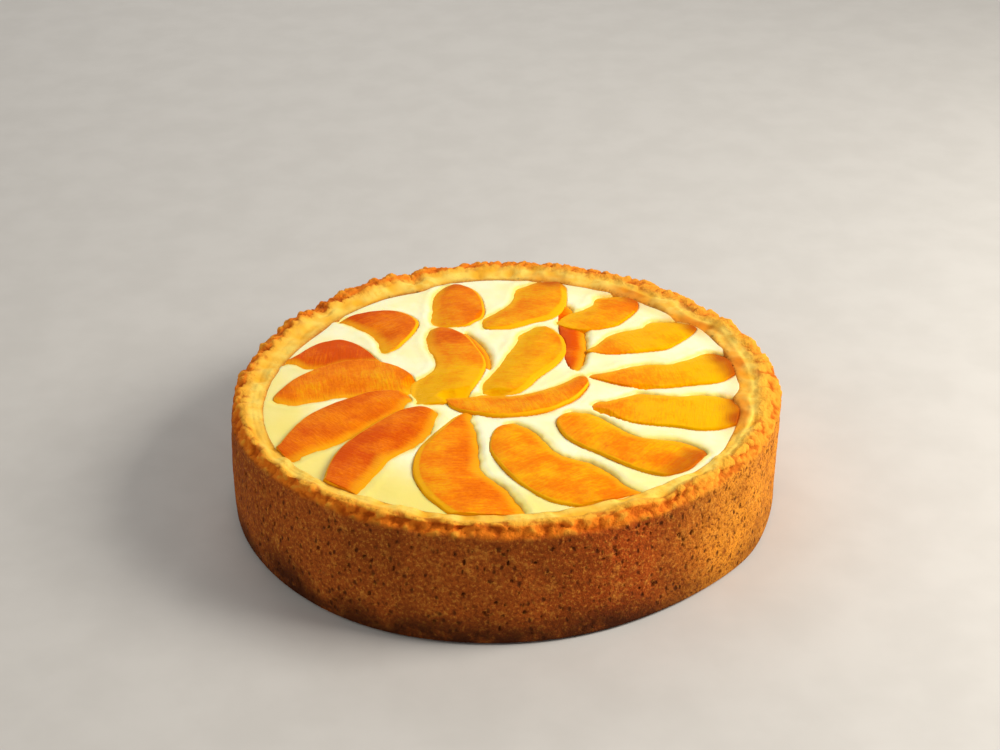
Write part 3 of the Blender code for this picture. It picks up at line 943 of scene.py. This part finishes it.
# Distance to an outline, positive inside; points further off than reach get -reach. A
# point is inside where a ray from it crosses the outline an odd number of times.
def depthInside(outline, x, y, reach=6.0):
    depth = np.full(x.shape, -reach)
    low, high = outline.min(0) - reach, outline.max(0) + reach
    close = (x > low[0]) & (x < high[0]) & (y > low[1]) & (y < high[1])
    px, py = x[close][:, None], y[close][:, None]
    ax, ay = outline.T
    bx, by = np.roll(outline, -1, axis=0).T
    t = ((px - ax) * (bx - ax) + (py - ay) * (by - ay)) / ((bx - ax) ** 2 + (by - ay) ** 2 + 1e-12)
    t = np.clip(t, 0, 1)
    away = np.sqrt(((ax + t * (bx - ax) - px) ** 2 + (ay + t * (by - ay) - py) ** 2).min(1))
    crossed = ((ay > py) != (by > py)) & (px < (bx - ax) * (py - ay) / (by - ay + 1e-12) + ax)
    odd = crossed.sum(1) % 2 == 1
    depth[close] = np.where(odd, away, -np.minimum(away, reach))
    return depth


# Height of a slice's face under any point, held at its edges outside it
def faceHeight(name, s, towardsSharp):
    form = slices[name]
    s = np.clip(s, sliceShape["nearTip"], 1 - sliceShape["nearTip"])
    return sliceTop(form, s, form.sharpSide * np.clip(towardsSharp / plainHalf(form, s), -1, 1))


overlap = {
    "below": 0.35,  # how far under the upper slice's face the lower one ends at its outline
    "fall": 1.2,  # how fast it falls further in
    "rise": 0.5,  # how fast it may rise outside
    "reach": 4.0,  # how far outside it is held down
    "near": 3.0,  # slices further off than this aren't looked at
}


# Lowers points that lie under the slices laid on later: just below their face at the
# outline, lower further in, and free again a few millimetres outside
def underOthers(name, grid):
    names = list(slices)
    x, y = grid[..., 0], grid[..., 1]
    for other in names[names.index(name) + 1 :]:
        depth = depthInside(shownOutline(other), x, y)
        if depth.max() < -overlap["near"]:
            continue
        face = faceHeight(other, *alongSlice(slices[other], x, y))
        fall = overlap["fall"] * np.clip(depth, 0, None)
        rise = overlap["rise"] * np.clip(-depth, 0, None)
        limit = face - overlap["below"] - fall + rise
        held = np.where(depth > -overlap["reach"], limit, np.inf)
        grid[..., 2] = np.minimum(grid[..., 2], held)
    return grid


sliceLooks = {
    # name: ripeness at the inner and outer tip and how much more at the sharp side (0 is
    # yellow, 1 deep orange), width and drop of the bevel at the sharp side, juice stain and painted
    # shadow of the rim at the outer tip
    "under_right": (1.00, 1.00, 0.0, 0.0, 0.0, 0.0),
    "under_left": (0.85, 0.80, 0.0, 0.0, 0.0, 0.0),
    "west_north": (0.85, 1.05, 0.05, 0.8, 0.2, 0.1),
    "north_east": (0.08, 0.50, 0.05, 0.0, 0.0, 0.7),
    "north_west": (0.52, 0.62, 0.05, 1.2, 0.3, 0.3),
    "back_west": (0.45, 1.00, 0.05, 1.6, 0.4, 0.1),
    "east": (0.50, -0.30, 0.0, 0.0, 0.0, 0.9),
    "east_north": (0.36, -0.12, 0.0, 0.0, 0.0, 0.9),
    "east_south": (0.40, -0.28, 0.0, 0.0, 0.0, 0.9),
    "south_east": (0.34, 0.38, 0.0, 1.0, 0.2, 0.8),
    "south": (0.36, 0.34, -0.05, 1.0, 0.2, 0.1),
    "south_west": (0.56, 0.44, -0.15, 2.6, 0.5, 0.0),
    "west": (0.42, 0.55, 0.05, 0.8, 0.2, 0.1),
    "north": (0.30, 0.40, 0.0, 2.8, 0.7, 0.7),
    "west_south": (0.68, 0.78, 0.0, 0.8, 0.2, 0.1),
    "middle_right": (0.20, 0.05, 0.12, 2.2, 0.6, 0.0),
    "middle_left": (0.88, -0.25, 0.0, 1.2, 0.3, 0.0),
    "front_west": (0.72, 1.00, 0.0, 0.9, 0.3, 0.0),
    "middle_front": (0.55, 0.30, 0.05, 0.8, 0.2, 0.0),
}

reds = ("west_north", "west", "west_south", "front_west")
yellows = ("east", "east_north", "east_south")


# Stations from tip to tip, closer at the tips, and places from -1 to 1 across, closer at
# the edges: first those of the cut face, then those of the keel with their depths
def sliceSection():
    stations = np.arange(1, sliceShape["stations"] + 1) / (sliceShape["stations"] + 1)
    s = 0.5 - 0.5 * np.cos(math.pi * stations)
    face = np.sin(0.5 * math.pi * np.linspace(-1, 1, sliceShape["topPoints"]))
    keelPlace, keelDepth = np.array(sliceShape["keel"]).T
    return s, np.concatenate([face, keelPlace]), keelDepth


# The fall of a quarter round of this radius: radius - root(radius squared - a squared),
# where a is how far a point is past the start of the round
def roundedEdge(fromEdge, radius):
    past = np.clip(radius - fromEdge, 0, radius)
    return radius - np.sqrt(np.clip(radius**2 - past**2, 0, None))


# Stations along the bowed line carry a section: the cut face on top, bevelled and
# rounded at its sharp side, and a wedge below
def makeSlice(name, number, material):
    form = slices[name]
    inner, ahead, length, left = unpack(form)
    ripeInner, ripeOuter, ripeSharp, bevelWidth, bevelDrop, juiceAndShade = sliceLooks[name]
    s, across, keelDepth = sliceSection()
    keel = np.arange(len(across)) >= len(across) - len(keelDepth)
    side = s[:, None] * np.ones(len(across))
    onFace = ~keel * np.ones_like(side)

    lower, sharp = shownReach(name, s)
    tips = sliceShape["underTips"]
    hidden = sliceShape["underCream"] * ease(0, tips, s) * ease(0, tips, 1 - s)
    towards = np.where(across > 0, across * sharp[:, None], across * (lower + hidden)[:, None])
    fromSharp = sharp[:, None] - towards
    fromLower = towards + lower[:, None]
    share = towards / plainHalf(form, s)[:, None]
    flat = middleLine(form, s)[:, None] + (towards * form.sharpSide)[..., None] * left

    height = sliceTop(form, side, form.sharpSide * np.clip(share, -1, 1))
    place = np.concatenate([flat, height[..., None]], -1)
    wobble = swell(place, sliceShape["wobbleSize"], 10 + number)
    fromBevel = fromSharp + sliceShape["bevelWobble"] * wobble
    bevel = np.clip(1 - fromBevel / max(bevelWidth, 0.1), 0, 1)
    height -= bevelDrop * bevel + roundedEdge(fromSharp, sliceShape["edgeRadius"])
    height -= sliceShape["underFall"] * np.clip(-fromLower, 0, None)
    depth = (fullness(form, s) ** sliceShape["flatten"])[:, None] * sliceShape["depth"] * keelDepth
    height[:, keel] = pie["fillingLevel"] + form.lift - depth

    grid = np.concatenate([keptInside(flat), height[..., None]], -1)
    grid[..., :2] += (sliceShape["sway"] * wobble * np.abs(across) ** 3)[..., None] * left
    (broad, broadRise), (fine, fineRise) = sliceShape["relief"]
    relief = broadRise * swell(grid, broad, 11 + number) + fineRise * swell(grid, fine, 12 + number)
    grid[..., 2] += onFace * relief
    grid = underOthers(name, grid)

    glowEdge = fromLower + sliceShape["glowWobble"] * wobble
    values = {
        "ripe": ripeInner + (ripeOuter - ripeInner) * side + ripeSharp * share,
        "band": ease(0.0, sliceShape["bandFull"], bevel) * (bevelWidth > 0.5) * onFace,
        "juiceAndShade": juiceAndShade * ease(*sliceShape["juiceAndShaded"], side + 0.05 * wobble) * onFace,
        "glow": (1 - ease(*sliceShape["glow"], glowEdge)) * onFace,
    }
    for label, value in values.items():
        values[label] = np.append(value.ravel(), [value[0].mean(), value[-1].mean()])
    ends = np.stack([inner, inner + length * ahead])
    endHeights = grid[[0, -1], :, 2].mean(1)
    poles = keptInside(np.concatenate([ends, endHeights[:, None]], -1))
    points = np.concatenate([grid.reshape(-1, 3), poles])
    uv = np.stack([side * length, towards], -1).reshape(-1, 2) / sliceShape["uvSpan"] + number
    uv = np.concatenate([uv, uv[[0, -1]]])
    quads, triangles = skinFaces(len(s), len(across))
    piece = makePiece("slice_" + name, points, quads, triangles, material, values, uv)
    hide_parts("peach_" + name)
    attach(piece, "root")


peachLooks = {
    "yellow": (0.90, 0.44, 0.001),
    "orange": (0.86, 0.205, 0.0004),
    "red": (0.66, 0.076, 0.0003),
    "band": (0.96, 0.46, 0.006),
    "glow": (0.96, 0.50, 0.012),
    # juice stain and painted shadow of the rim
    "juiceAndShade": (0.42, 0.050, 0.002),
    "gloss": (1.0, 0.62, 0.05),
    "fibres": (120.0, 16.0, 1.0),  # noise cells along and across the slice, in 100 mm
    "clouds": 85.0,  # cells a metre
    "fine": 1000.0,
}


# Moist flesh: ripeness runs from yellow through orange to red, and the fibres across the
# slice and cloudy patches move it to and fro
def peachMaterial(name):
    finish = Finish(name)
    looks = peachLooks
    place = finish.coordinates["Object"]
    along = finish.stretched(finish.coordinates["UV"], looks["fibres"])
    fibres = finish.noise(along, 1.0, roughness=0.6, distortion=0.7)
    clouds = finish.noise(place, looks["clouds"], detail=3.0)
    fine = finish.noise(place, looks["fine"], detail=2.0)
    ripe = finish.attribute("ripe")
    ripe = finish.math("ADD", ripe, finish.spread(clouds, 0.3, 0.7, -0.20, 0.20))
    ripe = finish.math("ADD", ripe, finish.spread(fibres, 0.36, 0.72, 0.04, -0.16))
    ripe = finish.math("ADD", ripe, finish.spread(fine, 0.3, 0.7, 0.08, -0.08))
    halfRipe = finish.spread(ripe, 0.0, 0.5, kind="LINEAR")
    fullRipe = finish.spread(ripe, 0.5, 1.0, kind="LINEAR")
    colour = finish.mix(halfRipe, looks["yellow"], looks["orange"])
    colour = finish.mix(fullRipe, colour, looks["red"])
    colour = finish.tint(colour, looks["glow"], finish.attribute("glow"), 0.55)
    colour = finish.tint(colour, looks["band"], finish.attribute("band"), 0.9)
    # outer tips darkened: juice stain and painted shadow of the rim
    colour = finish.mix(finish.attribute("juiceAndShade"), colour, looks["juiceAndShade"])
    relief = finish.bump(fibres, 0.0004, 0.6)
    relief = finish.bump(fine, 0.00015, 0.5, relief)
    return finish.done(
        colour,
        relief,
        Roughness=finish.spread(clouds, 0.3, 0.7, 0.30, 0.45),
        Specular_IOR_Level=0.025,
        Specular_Tint=looks["gloss"],
    )


# The curd cheese: it stands in ridges between the slices, laps over the lower side of
# each and meets the sharp side at its edge

filling = {
    "points": 310,  # along each side of the grid
    "tuck": 0.9,  # how far it reaches under the dough
    "bottom": 7.0,
    "bottomShare": 0.9,  # the flat bottom's radius as a share of the top's
    "rise": 0.2,  # above the filling's level
    "swells": ((30.0, 0.30), (11.0, 0.18)),  # size and height
    "ragged": ((2.8, 0.45), (1.5, 0.15)),  # size and reach of the raggedness of its edge on a slice
    "blend": 0.35,  # the lower side's edge turns into the sharp side's over twice this half width
    "shoulder": 3.2,  # width of the rounded edge on a slice
    "ridge": (0.25, 2.8, 1.8),  # height, distance from the edge and half width
    "deepest": 8.0,  # how far it reaches down under a slice
    "steep": (3.0, 6.0),  # how fast it falls away inside a slice's outline, lower and sharp side
    "reach": 5.9,  # slices further off than this don't touch it
    "thin": (-3.2, 0.3),  # distances from the edge where it starts to thin and is thinnest, and its painted shade starts and is full
    "shadeAtSharp": 0.35,  # how much painted shade it takes beside a sharp side
    "yellowRadii": (52.0, 84.0),  # most at this angle, in degrees: the front left, away from the lamp, where it is painted shade
    "yellowShadeSide": 232.0,  # most at this angle, in degrees
    "yellowLeast": 0.2,
    "nearDough": (-7.0, -0.5),  # distances from the dough where the juice stains and painted shadow of the rim start and are full
}


# The level with its swells. On a slice's lower side the edge is a quarter round,
# root(1 - (1 - out) squared), that ends on the face; on the sharp side it is level.
def creamHeight(x, y):
    flat = np.stack([x, y, 0 * x], -1)
    base = pie["fillingLevel"] + filling["rise"] + swells(flat, filling["swells"], 20)
    ragged = swells(flat, filling["ragged"], 25)
    blend, reach, least = filling["blend"], filling["reach"], filling["shadeAtSharp"]
    ridgeHeight, ridgeAt, ridgeHalf = filling["ridge"]
    nearTip = sliceShape["nearTip"]
    ridge = np.zeros_like(x)
    thin = np.zeros_like(x)
    edges = []
    for name, form in slices.items():
        depth = depthInside(shownOutline(name), x, y)
        s, towards = alongSlice(form, x, y)
        lower, sharp = shownReach(name, np.clip(s, nearTip, 1 - nearTip))
        place = (towards - 0.5 * (sharp - lower)) / (0.5 * (sharp + lower) + 0.1)
        lapped = ease(-blend, blend, -place) * (depth > -reach)
        depth = depth + lapped * ragged
        ridge = np.maximum(ridge, lapped * np.exp(-(((depth + ridgeAt) / ridgeHalf) ** 2)))
        thin = np.maximum(thin, (least + (1 - least) * lapped) * ease(*filling["thin"], depth))
        edges.append((depth, lapped, faceHeight(name, s, towards)))
    base = base + ridgeHeight * ridge
    surface = base
    lowerSteep, sharpSteep = filling["steep"]
    for depth, lapped, face in edges:
        out = np.clip(-depth / filling["shoulder"], 0, 1)
        deep = np.clip(depth, 0, None)
        rounded = face + (base - face) * np.sqrt(1 - (1 - out) ** 2) - lowerSteep * deep
        level = base - sharpSteep * deep
        edge = lapped * rounded + (1 - lapped) * level
        surface = np.minimum(surface, np.where(depth > -reach, edge, np.inf))
    return np.maximum(surface, pie["fillingLevel"] - filling["deepest"]), thin


# A square grid drawn out to a disc, x = u root(1 - v v / 2) and y likewise, with a wall
# and a flat bottom under it
def makeFilling(material):
    count = filling["points"]
    u, v = np.meshgrid(np.linspace(-1, 1, count), np.linspace(-1, 1, count), indexing="ij")
    x = u * np.sqrt(1 - v**2 / 2)
    y = v * np.sqrt(1 - u**2 / 2)
    rim = mouthRadius(np.arctan2(y, x)) + filling["tuck"]
    x, y = x * rim, y * rim
    z, thin = creamHeight(x, y)
    top = np.stack([x, y, z], -1).reshape(-1, 3)
    index = np.arange(count * count).reshape(count, count)
    corners = [index[:-1, :-1], index[1:, :-1], index[1:, 1:], index[:-1, 1:]]
    quads = np.stack(corners, -1).reshape(-1, 4)
    loop = np.concatenate([index[:-1, 0], index[-1, :-1], index[:0:-1, -1], index[0, :0:-1]])
    foot = top[loop] * np.array([filling["bottomShare"], filling["bottomShare"], 0.0])
    foot[:, 2] = filling["bottom"]
    low = count * count + np.arange(len(loop))
    centre = count * count + len(loop)
    skirt = np.stack([np.roll(loop, -1), loop, low, np.roll(low, -1)], -1)
    base = np.stack([np.roll(low, -1), low, np.full(len(loop), centre)], -1)
    points = np.concatenate([top, foot, [[0, 0, filling["bottom"]]]])

    radius = np.hypot(points[:, 0], points[:, 1])
    angle = np.arctan2(points[:, 1], points[:, 0])
    least = filling["yellowLeast"]
    facing = np.clip(np.cos(angle - math.radians(filling["yellowShadeSide"])), 0, 1)
    fromDough = radius - mouthRadius(angle) + swell(points, 6.0, 24)
    values = {
        "thin": np.append(thin.ravel(), np.zeros(len(loop) + 1)),
        "yellow": ease(*filling["yellowRadii"], radius) * (least + (1 - least) * facing),
        "juiceAndShade": juiceAndShaded(angle) * ease(*filling["nearDough"], fromDough),
    }
    piece = makePiece("curd_cream", points, np.concatenate([quads, skirt]), base, material, values)
    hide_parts("curd_filling")
    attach(piece, "root")


creamLooks = {
    "cream": (0.97, 0.92, 0.60),
    "shade": (0.95, 0.87, 0.42),
    # yellow: partly baked cream near the dough, partly painted shade at the front left
    "yellow": (0.88, 0.72, 0.10),
    "thin": (0.97, 0.76, 0.14),
    "juiceAndShade": (0.78, 0.36, 0.02),
    "clouds": 60.0,  # cells a metre
    "fine": 700.0,
}


# Pale satin cream, yellower near the dough, partly baked and partly painted shade that is most at the
# front left, yellower where it is thin over a slice or beside its sharp side, partly painted shade, and
# darkened near the dough at the right by juice and painted shadow
def creamMaterial():
    finish = Finish("curd_cheese_cream")
    looks = creamLooks
    place = finish.coordinates["Object"]
    clouds = finish.noise(place, looks["clouds"], detail=3.0)
    fine = finish.noise(place, looks["fine"], detail=2.0)
    colour = finish.layer(looks["cream"], looks["shade"], clouds, 0.35, 0.7)
    # yellower near the dough: partly baked, partly painted shade at the front left
    colour = finish.layer(colour, looks["yellow"], finish.attribute("yellow"), 0.1, 1.0, 0.85)
    # yellower where thin over a slice, and painted shade on the cream beside the slices
    colour = finish.layer(colour, looks["thin"], finish.attribute("thin"), 0.2, 1.0, 0.85)
    # near the dough at the right: juice stain and painted shadow of the rim
    colour = finish.tint(colour, looks["juiceAndShade"], finish.attribute("juiceAndShade"), 0.8)
    relief = finish.bump(clouds, 0.0006, 0.5)
    relief = finish.bump(fine, 0.00008, 0.4, relief)
    return finish.done(
        colour,
        relief,
        Roughness=0.42,
        Specular_IOR_Level=0.3,
        Subsurface_Weight=0.4,
        Subsurface_Radius=(1.0, 0.7, 0.35),
        Subsurface_Scale=0.002,
    )


# The material slot that a slice takes its finish from
def peachSlot(name):
    if name in reds:
        return "peach_red"
    return "peach_yellow" if name in yellows else "peach_orange"


makeCrust(crustMaterial())
print("crust made")
makeFilling(creamMaterial())
print("filling made")
peachSlots = ("peach_red", "peach_orange", "peach_yellow")
peaches = {slotName: peachMaterial(slotName) for slotName in peachSlots}
for number, name in enumerate(slices):
    slotName = peachSlot(name)
    makeSlice(name, number, peaches[slotName])
print("slices made:", len(slices))
